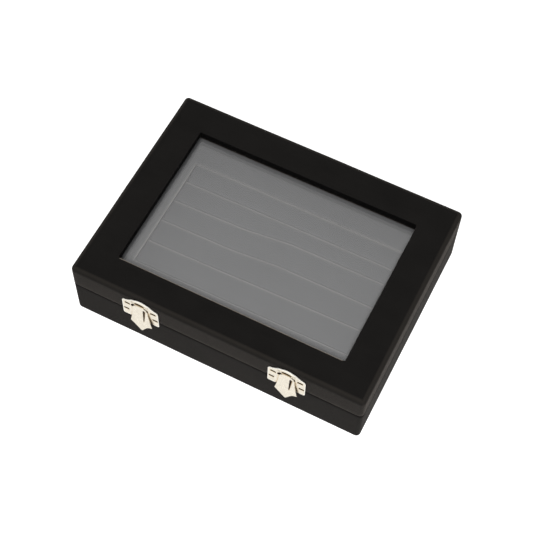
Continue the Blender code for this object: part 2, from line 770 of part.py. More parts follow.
def make_tongue(side, x, material, tongue_pivot):
    place = front_place(x)
    mesh_data = bmesh.new()
    bmesh.ops.create_grid(mesh_data, x_segments=tongue_steps, y_segments=tongue_steps, size=1.0)
    for vertex in mesh_data.verts:
        u, v = vertex.co.x, (1 - vertex.co.y) / 2
        bottom = tongue_tip_height
        bottom += (tongue_shoulder_height - tongue_tip_height) * (1 - (1 - abs(u)) ** tongue_foot_power)
        top = tongue_spring_height
        top += superellipse_height(u, 1.0, tongue_top_height - tongue_spring_height, tongue_head_power)
        z = top + v * (bottom - top)
        fall = (tongue_spring_height - z) / (tongue_spring_height - tongue_shoulder_height)
        widening = min(max(fall, 0.0), 1.0) ** tongue_side_power
        width = tongue_top_width + (tongue_shoulder_width - tongue_top_width) * widening
        across = u * width / 2
        vertex.co = place(across, z, tongue_depth(z) + metal)
    bmesh.ops.recalc_face_normals(mesh_data, faces=mesh_data.faces)
    if sum(face.normal.y for face in mesh_data.faces) > 0:
        bmesh.ops.reverse_faces(mesh_data, faces=mesh_data.faces)
    bmesh.ops.solidify(mesh_data, geom=mesh_data.faces[:], thickness=metal)
    piece = add_object(f"catch_{side}_tongue", mesh_data, material, tongue_pivot, smooth=True)
    cut(piece, "dart_cutter", dart_wedge(place))
    y = -half_depth - catch_pin_depth
    half = barrel_length / 2
    ends = [(x - half, y, catch_pin_height), (x + half, y, catch_pin_height)]
    join(piece, "barrel_guide", rod(barrel_radius, ends[0], ends[1], round_sides))
    reach = half + cut_overrun
    ends = [(x - reach, y, catch_pin_height), (x + reach, y, catch_pin_height)]
    cut(piece, "bore_cutter", rod(barrel_bore_radius, ends[0], ends[1], round_sides))


def make_catch(side, x, material, lid_pivot):
    make_catch_plate(side, x, material, lid_pivot)
    y = -half_depth - catch_pin_depth
    tongue_pivot = add_pivot(f"catch_{side}_tongue_axis", (x, y, catch_pin_height), lid_pivot)
    make_tongue(side, x, material, tongue_pivot)
    ends = [(x - catch_pin_reach, y, catch_pin_height), (x + catch_pin_reach, y, catch_pin_height)]
    pin = rod(catch_pin_radius, ends[0], ends[1], round_sides)
    add_object(f"catch_{side}_pin", pin, material, lid_pivot, smooth=True)
    make_striker(side, x, material)


def make_striker(side, x, material):
    """The small plate on the base that the tongue's back comes down over, with a round nose across it."""
    place = front_place(x)
    front = seat_gap + striker_metal
    middle = (striker_bottom_height + striker_top_height) / 2
    outline = rectangle(0, middle, striker_width, striker_top_height - striker_bottom_height)
    striker = add_object(f"catch_{side}_striker", prism(outline, seat_gap, front, place), material)
    half = striker_nose_width / 2
    ends = [place(-half, striker_nose_height, front), place(half, striker_nose_height, front)]
    join(striker, "nose_guide", rod(striker_nose_radius, ends[0], ends[1], round_sides))
    cut(striker, "back_cutter", prism(outline, seat_gap - cut_overrun, seat_gap, place))
    holes = []
    for sign in (-1, 1):
        across = sign * striker_nail_spacing / 2
        outside = place(across, striker_nail_height, front + cut_overrun)
        inside = place(across, striker_nail_height, 0)
        holes.append(rod(nail_hole_radius, outside, inside, small_sides))
    cut(striker, "nail_cutter", merge_meshes(holes))


def hinge_rod(x, radius, reach):
    """A bar along the hinge line, reaching to both sides of x."""
    left = (x - reach, hinge_axis_depth, hinge_axis_height)
    right = (x + reach, hinge_axis_depth, hinge_axis_height)
    return rod(radius, left, right, round_sides)


def make_hinge_leaf(name, x, upward, material, parent):
    """A leaf on the back face with its knuckles: one in the middle above, two outside below."""
    inner = (knuckle_width - knuckle_gap) / 2
    outer = (knuckle_width + knuckle_gap) / 2
    if upward > 0:
        spans = [(-inner, inner)]
    else:
        spans = [(-leaf_width / 2, -outer), (outer, leaf_width / 2)]
    clear = hinge_knuckle_radius + knuckle_gap
    low_y, high_y = half_depth + seat_gap, half_depth + plate_front
    near = hinge_axis_height + upward * clear
    far = hinge_axis_height + upward * (hinge_knuckle_radius + leaf_height)
    leaf = box((x - leaf_width / 2, x + leaf_width / 2), (low_y, high_y), (near, far))
    piece = add_object(name, leaf, material, parent, smooth=True)
    knuckles = []
    for low, high in spans:
        strap = box((x + low, x + high), (low_y, high_y), (hinge_axis_height, near + upward * metal))
        join(piece, f"strap_guide_{len(knuckles)}", strap)
        axis_low = (x + low, hinge_axis_depth, hinge_axis_height)
        axis_high = (x + high, hinge_axis_depth, hinge_axis_height)
        knuckles.append(rod(hinge_knuckle_radius, axis_low, axis_high, round_sides))
    join(piece, "knuckle_guide", merge_meshes(knuckles))
    reach = leaf_width / 2 + cut_overrun
    cut(piece, "bore_cutter", hinge_rod(x, hinge_pin_radius + pin_clearance, reach))
    z = hinge_axis_height + upward * leaf_nail_reach
    holes = []
    for sign in (-1, 1):
        centre = x + sign * hinge_nail_spacing / 2
        ends = [(centre, half_depth, z), (centre, high_y + cut_overrun, z)]
        holes.append(rod(nail_hole_radius, ends[0], ends[1], small_sides))
    cut(piece, "nail_cutter", merge_meshes(holes))


def make_hinge(side, x, material, lid_pivot):
    make_hinge_leaf(f"hinge_{side}_base_leaf", x, -1, material, None)
    make_hinge_leaf(f"hinge_{side}_lid_leaf", x, 1, material, lid_pivot)
    reach = leaf_width / 2 + hinge_pin_head
    add_object(f"hinge_{side}_pin", hinge_rod(x, hinge_pin_radius, reach), material, smooth=True)


def main():
    clear_scene()
    black_velvet = make_material("black velvet", (0.012, 0.011, 0.010), 0.95)
    grey_velvet = make_material("grey velvet", (0.19, 0.19, 0.195), 0.9)
    board = make_material("grey board", (0.32, 0.29, 0.25), 0.85)
    card = make_material("card", (0.42, 0.38, 0.31), 0.85)
    felt = make_material("black felt", (0.015, 0.014, 0.013), 0.95)
    clear_glass = make_material("clear glass", (0.95, 0.98, 0.97), 0.03, transmission=1.0)
    pale_nickel = make_material("pale nickel", (0.83, 0.78, 0.68), 0.28, metallic=1.0)
    lid_pivot = add_pivot("lid_hinge_axis", (0.0, hinge_axis_depth, hinge_axis_height))
    make_base(black_velvet, board, felt)
    make_insert(grey_velvet, card)
    make_lid(black_velvet, board, clear_glass, lid_pivot)
    for side, sign in (("left", -1), ("right", 1)):
        make_catch(side, sign * catch_spacing / 2, pale_nickel, lid_pivot)
        make_hinge(side, sign * hinge_spacing / 2, pale_nickel, lid_pivot)
    make_nails(pale_nickel, lid_pivot)


main()
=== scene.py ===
import json
import math

import bmesh
import bpy
from mathutils import Matrix, Vector, noise

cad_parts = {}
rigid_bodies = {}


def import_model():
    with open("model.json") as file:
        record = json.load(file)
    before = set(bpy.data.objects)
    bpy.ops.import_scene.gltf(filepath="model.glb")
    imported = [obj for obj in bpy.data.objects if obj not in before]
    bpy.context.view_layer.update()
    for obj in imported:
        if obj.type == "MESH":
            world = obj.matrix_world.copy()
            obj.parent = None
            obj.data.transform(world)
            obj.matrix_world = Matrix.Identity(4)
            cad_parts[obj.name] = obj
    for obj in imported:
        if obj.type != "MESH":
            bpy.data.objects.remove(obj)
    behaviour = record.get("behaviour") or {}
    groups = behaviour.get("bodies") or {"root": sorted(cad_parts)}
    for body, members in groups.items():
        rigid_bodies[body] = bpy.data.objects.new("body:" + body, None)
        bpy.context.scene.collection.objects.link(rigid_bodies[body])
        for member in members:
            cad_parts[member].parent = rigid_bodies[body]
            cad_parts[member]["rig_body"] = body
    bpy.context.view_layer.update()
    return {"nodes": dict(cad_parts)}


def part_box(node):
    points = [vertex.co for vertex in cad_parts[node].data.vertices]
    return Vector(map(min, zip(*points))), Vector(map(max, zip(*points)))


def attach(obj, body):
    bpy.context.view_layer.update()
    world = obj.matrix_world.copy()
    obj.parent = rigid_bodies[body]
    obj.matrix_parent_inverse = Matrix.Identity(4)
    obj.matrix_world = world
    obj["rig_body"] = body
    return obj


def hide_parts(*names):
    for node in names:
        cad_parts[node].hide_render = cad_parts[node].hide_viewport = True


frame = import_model()

# Walls and floor of the case
# Pressed grey board, mitred and glued at the corners. The floor board closes the base under
# its walls, and the lid has four more boards laid flat on its walls to carry the window.
sides = ("front", "right", "back", "left")
board_nodes = ["base_floor_board"]
for side in sides:
    board_nodes += [f"base_{side}_wall", f"lid_{side}_wall", f"lid_{side}_rail"]
pulp_dark = (0.22, 0.20, 0.17, 1)
pulp_light = (0.36, 0.33, 0.28, 1)
pulp_roughness = 0.85
pulp_flecks_per_metre = 900
pulp_clouds_per_metre = 60
pulp_fleck_share = 0.6
pulp_height = 0.00004
usual_noise = (0.3, 0.7)


def new_material(name, roughness):
    """A material with its Principled shader, whose plain roughness is set at once."""
    material = bpy.data.materials.new(name)
    material.use_nodes = True
    shader = material.node_tree.nodes["Principled BSDF"]
    shader.inputs["Roughness"].default_value = roughness
    return material, shader


def add_node(material, kind, values, **settings):
    """A shader node. Each value is a plain one or the output of another node."""
    node = material.node_tree.nodes.new(kind)
    for name, value in settings.items():
        setattr(node, name, value)
    for name, value in values.items():
        if isinstance(value, bpy.types.NodeSocket):
            material.node_tree.links.new(value, node.inputs[name])
        else:
            node.inputs[name].default_value = value
    return node


def grain(material, per_metre, detail, stretch=(1, 1, 1)):
    """Noise at a real scale, spread so that it runs from 0 to 1 over most of the surface."""
    place = add_node(material, "ShaderNodeTexCoord", {}).outputs["Object"]
    place = add_node(material, "ShaderNodeMapping", {"Vector": place, "Scale": stretch}).outputs["Vector"]
    values = {"Vector": place, "Scale": per_metre, "Detail": detail}
    raw = add_node(material, "ShaderNodeTexNoise", values).outputs["Fac"]
    span = {"Value": raw, "From Min": usual_noise[0], "From Max": usual_noise[1]}
    return add_node(material, "ShaderNodeMapRange", span).outputs["Result"]


def multiply(material, first, second):
    return add_node(material, "ShaderNodeMath", {0: first, 1: second}, operation="MULTIPLY").outputs[0]


def add(material, first, second):
    return add_node(material, "ShaderNodeMath", {0: first, 1: second}, operation="ADD").outputs[0]


def blend_colours(material, share, first, second):
    """A colour that runs from first to second with share. A mix's colours are its inputs 6 and 7."""
    mix = add_node(material, "ShaderNodeMix", {0: share, 6: first, 7: second}, data_type="RGBA")
    return mix.outputs[2]


def roughen(material, shader, height, distance):
    """Raises the surface by height, which runs from 0 to 1, times a real distance."""
    bump = add_node(material, "ShaderNodeBump", {"Height": height, "Distance": distance})
    material.node_tree.links.new(bump.outputs["Normal"], shader.inputs["Normal"])


def give_finish(node, material):
    """Puts a finish on a solid of the frame that stays as it is."""
    frame["nodes"][node].data.materials.clear()
    frame["nodes"][node].data.materials.append(material)


grey_board, shader = new_material("grey board", pulp_roughness)
flecks = grain(grey_board, pulp_flecks_per_metre, 3)
clouds = grain(grey_board, pulp_clouds_per_metre, 2)
clouds = multiply(grey_board, clouds, 1 - pulp_fleck_share)
share = add(grey_board, multiply(grey_board, flecks, pulp_fleck_share), clouds)
colour = blend_colours(grey_board, share, pulp_dark, pulp_light)
grey_board.node_tree.links.new(colour, shader.inputs["Base Color"])
roughen(grey_board, shader, flecks, pulp_height)
for name in board_nodes:
    give_finish(name, grey_board)

# Sheet under the base
# Black paper felt glued over the velvet that is turned under the case. Its short matted fibres
# lie every way, and it is the face that the box stands on.
felt_deep = (0.010, 0.010, 0.010, 1)
felt_light = (0.035, 0.034, 0.033, 1)
felt_fibres_per_metre = 1400
felt_fibre_stretch = 0.35
felt_height = 0.00015

black_felt, shader = new_material("black felt", 1.0)
fibres = grain(black_felt, felt_fibres_per_metre, 4, (1, felt_fibre_stretch, 1))
cross = grain(black_felt, felt_fibres_per_metre, 4, (felt_fibre_stretch, 1, 1))
matted = multiply(black_felt, add(black_felt, fibres, cross), 0.5)
colour = blend_colours(black_felt, matted, felt_deep, felt_light)
black_felt.node_tree.links.new(colour, shader.inputs["Base Color"])
roughen(black_felt, shader, matted, felt_height)
give_finish("base_underside_sheet", black_felt)

# Velvet on the base
# One strip of black velvet wrapped round the four walls: its edge is glued under the floor, it
# comes up the outside, over the rim, and ends a little way down inside the case.
velvet_thickness = 0.0006
case_corner = 0.0030
case_corner_segments = 8
inner_corner = 0.0008
inner_corner_segments = 3
base_foot_round = 0.0018
base_rim_round = 0.0010
round_segments = 5
base_turned_under = 0.0120
base_lining_inset = 0.0078
base_lining_depth = 0.0080
nap_dip = 0.00010
nap_waves_per_metre = 28
base_seed = 1
velvet_patch = 0.004
velvet_deep = (0.0042, 0.0038, 0.0034, 1)
velvet_raised = (0.0092, 0.0084, 0.0077, 1)
velvet_gloss = 0.15
base_sheen = 0.04
velvet_sheen_roughness = 0.42
velvet_sheen_tint = (1.0, 0.87, 0.76, 1)
pile_tufts_per_metre = 3800
black_pile_height = 0.00005
nap_patches_per_metre = 45
nap_strokes_per_metre = 30
nap_stroke_stretch = (1, 5, 3)
nap_patch_share = 0.45
nap_stroke_share = 0.25
nap_tuft_share = 0.30
cloth_smooth_degrees = 40
same_place = 1e-6
first_inset = 0.001
square_on = 0.9
turn_angle = 1.0


def make_velvet(name, deep, raised, sheen, tint, pile_height):
    """Cut pile cloth: tufts too small to tell apart, brushed patches, and a sheen at its edges."""
    material, shader = new_material(name, 1.0)
    shader.inputs["Specular IOR Level"].default_value = velvet_gloss
    shader.inputs["Sheen Weight"].default_value = sheen
    shader.inputs["Sheen Roughness"].default_value = velvet_sheen_roughness
    shader.inputs["Sheen Tint"].default_value = tint
    tufts = grain(material, pile_tufts_per_metre, 2)
    patches = grain(material, nap_patches_per_metre, 3)
    strokes = grain(material, nap_strokes_per_metre, 2, nap_stroke_stretch)
    nap = multiply(material, patches, nap_patch_share)
    nap = add(material, nap, multiply(material, strokes, nap_stroke_share))
    nap = add(material, nap, multiply(material, tufts, nap_tuft_share))
    colour = blend_colours(material, nap, deep, raised)
    material.node_tree.links.new(colour, shader.inputs["Base Color"])
    roughen(material, shader, tufts, pile_height)
    return material


def sharp_block(low, high):
    """A plain block between two corners, to be worked on."""
    work = bmesh.new()
    size = high - low
    place = Matrix.Translation((low + high) / 2) @ Matrix.Diagonal((size.x, size.y, size.z, 1))
    bmesh.ops.create_cube(work, size=1.0, matrix=place)
    return work


def near(first, second):
    return abs(first - second) < same_place


def flat_face(work, level, upward):
    """The face at a level that looks up or down, the innermost if there are more."""
    way = 1 if upward else -1
    found = [f for f in work.faces if near(f.calc_center_median().z, level) and f.normal.z * way > square_on]
    return min(found, key=lambda face: face.calc_center_median().xy.length + face.calc_area())


def inset_to(work, face, left, right, front, back):
    """Insets a rectangular face and moves its corners to the four given sides."""
    bmesh.ops.inset_region(work, faces=[face], thickness=first_inset, use_even_offset=True)
    middle = face.calc_center_median()
    for vertex in face.verts:
        vertex.co.x = left if vertex.co.x < middle.x else right
        vertex.co.y = front if vertex.co.y < middle.y else back


def inset_evenly(work, face, low, high, inset):
    """Insets a face by the same distance from all four sides of the block."""
    inset_to(work, face, low.x + inset, high.x - inset, low.y + inset, high.y - inset)


def sink_open(work, face, depth):
    """Takes a face away and carries the edges that it leaves up by depth, as an opening's walls."""
    rim = face.edges[:]
    bmesh.ops.delete(work, geom=[face], context="FACES_ONLY")
    walls = bmesh.ops.extrude_edge_only(work, edges=rim)["geom"]
    corners = [thing for thing in walls if isinstance(thing, bmesh.types.BMVert)]
    bmesh.ops.translate(work, verts=corners, vec=(0, 0, depth))
    bmesh.ops.recalc_face_normals(work, faces=work.faces[:])


def round_edges(work, chosen, radius, segments=round_segments):
    edges = [edge for edge in work.edges if chosen(edge)]
    bmesh.ops.bevel(
        work, geom=edges, offset=radius, segments=segments, profile=0.5, affect="EDGES",
        material=-1, clamp_overlap=True,
    )


def both(edge, test):
    """Whether a test holds at both ends of an edge."""
    return all(test(vertex.co) for vertex in edge.verts)


def is_upright(edge):
    first, second = [vertex.co for vertex in edge.verts]
    return near(first.x, second.x) and near(first.y, second.y)


def at_level(edge, level):
    return both(edge, lambda place: near(place.z, level))


def turns_at(edge, level):
    """Whether an edge lies at a level and its two faces meet at an angle there."""
    return at_level(edge, level) and edge.calc_face_angle(0) > turn_angle


def on_outside(edge, corner):
    """Whether an edge lies on the outer sides of the block that ends at a corner."""
    return both(edge, lambda place: near(abs(place.x), corner.x) or near(abs(place.y), corner.y))


def well_within(edge, corner):
    """Whether an edge lies further inside the block's outer sides than its round corners do."""
    reach_x = corner.x - 2 * case_corner
    reach_y = corner.y - 2 * case_corner
    return both(edge, lambda place: abs(place.x) < reach_x and abs(place.y) < reach_y)


def slice_through(work, place, normal):
    """Cuts every face that crosses a plane, and keeps both sides."""
    everything = work.verts[:] + work.edges[:] + work.faces[:]
    bmesh.ops.bisect_plane(work, geom=everything, plane_co=place, plane_no=normal, dist=same_place)


def cut_into_patches(work, low, high, step):
    """Slices every way at an even step, so that the cloth has corners enough to lie unevenly."""
    for axis in range(3):
        count = int((high[axis] - low[axis]) / step)
        for index in range(1, count):
            place = Vector((0, 0, 0))
            place[axis] = low[axis] + (high[axis] - low[axis]) * index / count
            normal = Vector((0, 0, 0))
            normal[axis] = 1
            slice_through(work, place, normal)


def sink_unevenly(work, waves_per_metre, depth, seed):
    """Moves each corner inwards by a slow noise, as glued or padded cloth lies."""
    work.normal_update()
    for vertex in work.verts:
        wave = noise.noise(vertex.co * waves_per_metre + Vector((seed, 0, 0)))
        vertex.co -= vertex.normal * depth * (1 + wave)


def finish_piece(name, work, material, body, smooth_degrees=cloth_smooth_degrees):
    """Turns a bmesh into a piece that rides on a body and takes the given finish."""
    mesh = bpy.data.meshes.new(name)
    work.to_mesh(mesh)
    work.free()
    mesh.shade_smooth()
    mesh.set_sharp_from_angle(angle=math.radians(smooth_degrees))
    mesh.materials.append(material)
    piece = bpy.data.objects.new(name, mesh)
    bpy.context.scene.collection.objects.link(piece)
    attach(piece, body)
    return piece


def thicken(piece, thickness):
    """Gives a skin its thickness, inwards from the face that shows."""
    shell = piece.modifiers.new("thickness", "SOLIDIFY")
    shell.thickness = thickness
    shell.offset = -1
    shell.use_even_offset = True


black_velvet_base = make_velvet(
    "black velvet of the base", velvet_deep, velvet_raised, base_sheen, velvet_sheen_tint, black_pile_height
)
low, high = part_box("base_velvet_cover")
work = sharp_block(low, high)
inset_evenly(work, flat_face(work, high.z, True), low, high, base_lining_inset)
sink_open(work, flat_face(work, high.z, True), -base_lining_depth)
inset_evenly(work, flat_face(work, low.z, False), low, high, base_turned_under)
bmesh.ops.delete(work, geom=[flat_face(work, low.z, False)], context="FACES")
round_edges(
    work, lambda edge: is_upright(edge) and on_outside(edge, high), case_corner, case_corner_segments
)
round_edges(
    work, lambda edge: is_upright(edge) and well_within(edge, high), inner_corner, inner_corner_segments
)
round_edges(work, lambda edge: turns_at(edge, low.z), base_foot_round)
round_edges(work, lambda edge: turns_at(edge, high.z), base_rim_round)
cut_into_patches(work, low, high, velvet_patch)
sink_unevenly(work, nap_waves_per_metre, nap_dip, base_seed)
base_velvet = finish_piece("base_velvet", work, black_velvet_base, "base")
thicken(base_velvet, velvet_thickness)
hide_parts("base_velvet_cover")

# Card under the rolls
# Buff card that fills the bottom of the case. It is cut a little small, dropped in on the floor
# board, and the padded pieces are glued to it.
card_dark = (0.34, 0.30, 0.24, 1)
card_light = (0.46, 0.42, 0.34, 1)
card_roughness = 0.8
card_fibres_per_metre = 1200
card_fibre_stretch = (1, 0.5, 1)
card_height = 0.00003

buff_card, shader = new_material("buff card", card_roughness)
fibres = grain(buff_card, card_fibres_per_metre, 4, card_fibre_stretch)
colour = blend_colours(buff_card, fibres, card_dark, card_light)
buff_card.node_tree.links.new(colour, shader.inputs["Base Color"])
roughen(buff_card, shader, fibres, card_height)
give_finish("insert_card", buff_card)

# Padded border
# A foam frame wrapped in grey velvet, glued down round the field of rolls. The cloth is drawn
# over its edges, so they are round, and a painted highlight runs where it turns down at the field.
border_round = 0.0005
border_dip = 0.00008
border_seed = 2
padding_waves_per_metre = 45
padding_patch = 0.003
padding_smooth_degrees = 60
grey_deep = (0.183, 0.183, 0.185, 1)
grey_raised = (0.195, 0.195, 0.197, 1)
# Lighter grey painted on the tops where the cloth turns down, as a highlight
grey_painted_highlight = (0.46, 0.44, 0.42, 1)
grey_sheen = 0.20
grey_sheen_tint = (1.0, 0.98, 0.96, 1)
grey_pile_height = 0.000002
highlight_width = 0.0006
highlight_cut_shares = (1, 2, 3.5)
back_turn_share = 3
field_left = -0.0745
field_right = 0.0745
field_front = (-0.0420, -0.0402)
field_back = (0.0412, 0.0417)
field_slope = (field_front[1] - field_front[0]) / (field_right - field_left)


def colour_where_marked(material, attribute, marked_colour):
    """Runs a velvet's colour to another one where the piece's own marks rise from 0 to 1."""
    socket = material.node_tree.nodes["Principled BSDF"].inputs["Base Color"]
    marked = add_node(material, "ShaderNodeAttribute", {}, attribute_name=attribute).outputs["Fac"]
    colour = blend_colours(material, marked, socket.links[0].from_socket, marked_colour)
    material.node_tree.links.new(colour, socket)


def paint_crest_highlight(piece, top, distance_to_turn):
    """Marks a painted highlight, a lighter colour strongest at a turn of the cloth, on the top alone."""
    marks = piece.data.attributes.new("painted_crest_highlight", "FLOAT", "POINT")
    for vertex, mark in zip(piece.data.vertices, marks.data):
        near_top = max(0.0, 1 - max(0.0, top - vertex.co.z) / highlight_width)
        mark.value = near_top * math.exp(-abs(distance_to_turn(vertex.co)) / highlight_width)


def along_field(places, x):
    """A place on a line across the field, from its left end to its right end."""
    share = (x - field_left) / (field_right - field_left)
    return places[0] + (places[1] - places[0]) * share


def border_turn(place):
    """How far a place on the border is from the field. At the back the painted highlight is narrower."""
    beside = max(field_left - place.x, place.x - field_right, 0.0)
    before = max(along_field(field_front, place.x) - place.y, 0.0)
    behind = max(place.y - along_field(field_back, place.x), 0.0)
    return math.hypot(beside, before) + back_turn_share * behind


grey_velvet = make_velvet(
    "grey velvet", grey_deep, grey_raised, grey_sheen, grey_sheen_tint, grey_pile_height
)
colour_where_marked(grey_velvet, "painted_crest_highlight", grey_painted_highlight)
low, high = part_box("insert_border")
work = sharp_block(low, high)
for level, upward in ((high.z, True), (low.z, False)):
    face = flat_face(work, level, upward)
    inset_to(work, face, field_left, field_right, field_front[0], field_back[0])
    for vertex in face.verts:
        vertex.co.y = along_field(field_front if vertex.co.y < 0 else field_back, vertex.co.x)
holes = [flat_face(work, high.z, True), flat_face(work, low.z, False)]
rims = [edge for face in holes for edge in face.edges]
bmesh.ops.delete(work, geom=holes, context="FACES_ONLY")
bmesh.ops.bridge_loops(work, edges=rims)
round_edges(work, lambda edge: turns_at(edge, high.z), border_round)
cut_into_patches(work, low, high, padding_patch)
highlight_sides = (
    ((field_left, 0, 0), (-1, 0, 0)),
    ((field_left, field_front[0], 0), (field_slope, -1, 0)),
)
for share in highlight_cut_shares:
    for corner, outward in highlight_sides:
        slice_through(work, Vector(corner) + Vector(outward) * (share * highlight_width), outward)
sink_unevenly(work, padding_waves_per_metre, border_dip, border_seed)
for vertex in work.verts:
    vertex.co.z = max(vertex.co.z, low.z)
border = finish_piece("padded_border", work, grey_velvet, "base", padding_smooth_degrees)
paint_crest_highlight(border, high.z, border_turn)
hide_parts("insert_border")

# Five padded rolls
# Strips of foam, each wrapped in the same grey velvet and set side by side, so that a cufflink's
# toggle pushes down between two of them. They are laid by hand, so the creases wander a little.
roll_cuts = 40
roll_edge_round = 0.0004
roll_crown = 0.0003
roll_end_reach = 0.0024
roll_end_drop = 0.0004
roll_dimple = 0.00010
roll_seed_step = 7.0
roll_gap = 0.00002
crease_stations = (-0.072, -0.022, 0.008, 0.072)
crease_lines = (
    (-0.0420, -0.0414, -0.0410, -0.0402),
    (-0.0246, -0.0237, -0.0228, -0.0214),
    (-0.0074, -0.0066, -0.0038, -0.0036),
    (0.0094, 0.0108, 0.0144, 0.0150),
    (0.0256, 0.0264, 0.0267, 0.0271),
    (0.0412, 0.0414, 0.0415, 0.0417),
)


def crease_place(number, x):
    """How far back a crease lies at a place along the rolls."""
    line = crease_lines[number]
    for index in range(1, len(line)):
        first, last = crease_stations[index - 1], crease_stations[index]
        if x <= last or index == len(line) - 1:
            return line[index - 1] + (line[index] - line[index - 1]) * (x - first) / (last - first)


for number in range(1, len(crease_lines)):
    low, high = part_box(f"cufflink_roll_{number}")
    half_length = (field_right - field_left) / 2 - roll_gap
    half_height = (high.z - low.z) / 2
    work = bmesh.new()
    bmesh.ops.create_cube(work, size=2.0)
    bmesh.ops.subdivide_edges(work, edges=work.edges[:], cuts=roll_cuts, use_grid_fill=True)
    for vertex in work.verts:
        spread = [math.sin(part * math.pi / 2) for part in vertex.co]
        x = spread[0] * half_length
        front = crease_place(number - 1, x) + roll_gap
        back = crease_place(number, x) - roll_gap
        half = Vector((half_length, (back - front) / 2, half_height))
        place = Vector([share * size for share, size in zip(spread, half)])
        kept = Vector([
            max(roll_edge_round - size, min(size - roll_edge_round, part)) for part, size in zip(place, half)
        ])
        out = place - kept
        if out.length > 0:
            place = kept + out.normalized() * roll_edge_round
        top_share = (place.z + half_height) / (2 * half_height)
        end = max(0.0, 1 - (half_length - abs(place.x)) / roll_end_reach)
        wave = noise.noise(Vector((place.x, number * roll_seed_step, place.y)) * padding_waves_per_metre)
        place.z -= roll_crown * (place.y / half.y) ** 2 * top_share
        place.z -= roll_end_drop * end**2 * top_share
        place.z += (roll_dimple * wave - roll_dimple) * top_share
        vertex.co = place + Vector((0, (front + back) / 2, (low.z + high.z) / 2))
    roll = finish_piece(
        f"padded_roll_{number}", work, grey_velvet, "base", padding_smooth_degrees
    )
    # Painted highlight along the back edge of the roll's top
    paint_crest_highlight(roll, high.z - roll_crown, lambda place: place.y - crease_place(number, place.x))
    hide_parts(f"cufflink_roll_{number}")

# Velvet on the lid
# The same black velvet: glued inside the lid's walls, round their lower edge, up the outside,
# over the top with a soft round edge, and down the sides of the window to the glass.
lid_top_round = 0.0030
lid_top_segments = 7
lid_rim_round = 0.0010
rail_to_window = 0.0009
window_round = 0.0012
window_corner = 0.0010
window_corner_segments = 4
window_margin = 0.0001
lid_lining_inset = 0.0078
lid_lining_depth = 0.0070
lid_seed = 5
lid_sheen = 0.09
# Painted shade: a darker velvet without sheen on the window's walls down to the glass
reveal_painted_shade = (0.0012, 0.0011, 0.0010, 1)
reveal_gloss = 0.05
reveal_pile_height = 0.00004
# Painted highlights: a pale line on the turn into the window's front, a faint band on the top's round edge
window_turn_painted_highlight = (0.30, 0.26, 0.22, 1)
highlight_start_share = 0.45
top_round_painted_highlight = 0.05
top_round_highlight_power = 0.7

black_velvet_lid = make_velvet(
    "black velvet of the lid", velvet_deep, velvet_raised, lid_sheen, velvet_sheen_tint, black_pile_height
)
colour_where_marked(black_velvet_lid, "painted_edge_highlight", window_turn_painted_highlight)
shaded_reveal_velvet, shader = new_material("black velvet darkened as painted shade", 1.0)
shader.inputs["Base Color"].default_value = reveal_painted_shade
shader.inputs["Specular IOR Level"].default_value = reveal_gloss
roughen(shaded_reveal_velvet, shader, grain(shaded_reveal_velvet, pile_tufts_per_metre, 2), reveal_pile_height)
low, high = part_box("lid_velvet_cover")
window_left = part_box("lid_left_rail")[1].x + rail_to_window
window_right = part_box("lid_right_rail")[0].x - rail_to_window
window_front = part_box("lid_front_rail")[1].y + rail_to_window
window_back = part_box("lid_back_rail")[0].y - rail_to_window
window_depth = high.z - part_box("lid_front_rail")[0].z
work = sharp_block(low, high)
inset_to(work, flat_face(work, high.z, True), window_left, window_right, window_front, window_back)
sink_open(work, flat_face(work, high.z, True), -window_depth)
inset_evenly(work, flat_face(work, low.z, False), low, high, lid_lining_inset)
sink_open(work, flat_face(work, low.z, False), lid_lining_depth)
round_edges(
    work, lambda edge: on_outside(edge, high) and (is_upright(edge) or at_level(edge, high.z)),
    lid_top_round, lid_top_segments,
)
round_edges(
    work, lambda edge: is_upright(edge) and well_within(edge, high), window_corner, window_corner_segments
)
round_edges(work, lambda edge: turns_at(edge, high.z), window_round)
round_edges(work, lambda edge: turns_at(edge, low.z), lid_rim_round)
cut_into_patches(work, low, high, velvet_patch)
# The window's walls below their round edge take the darker velvet, as painted shade
for face in work.faces:
    middle = face.calc_center_median()
    within = window_left - window_margin < middle.x < window_right + window_margin
    within = within and window_front - window_margin < middle.y < window_back + window_margin
    if within and middle.z < high.z - window_round:
        face.material_index = 1
sink_unevenly(work, nap_waves_per_metre, nap_dip, lid_seed)
lid_velvet = finish_piece("lid_velvet", work, black_velvet_lid, "lid")
lid_velvet.data.materials.append(shaded_reveal_velvet)
# Paints the highlights on the window's front turn and on the top's round edge
marks = lid_velvet.data.attributes.new("painted_edge_highlight", "FLOAT", "FACE")
for face, mark in zip(lid_velvet.data.polygons, marks.data):
    x, y, z = face.center
    into_window = y - window_front + window_round
    beside = window_left + window_round < x < window_right - window_round
    on_turn = highlight_start_share * window_round < into_window < window_round
    if beside and on_turn and z > high.z - window_round:
        mark.value = 1.0
    off_top = max(abs(x) - high.x, abs(y) - high.y) + lid_top_round
    if off_top > 0 and z > high.z - lid_top_round:
        mark.value = top_round_painted_highlight * math.sin(math.pi * min(off_top / lid_top_round, 1.0) ** top_round_highlight_power)
thicken(lid_velvet, velvet_thickness)
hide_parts("lid_velvet_cover")

# Glass
# A loose pane of clear float glass, laid into the lid from below against the window's rails. It
# mirrors a little of the room from both faces, and its cut edge is hidden by the rails.
glass_tint = (0.985, 0.986, 0.986, 1)
glass_mirror_square_on = 0.04
glass_mirror_power = 5.0
glass_mirror_roughness = 0.015
facing_blend = 0.5

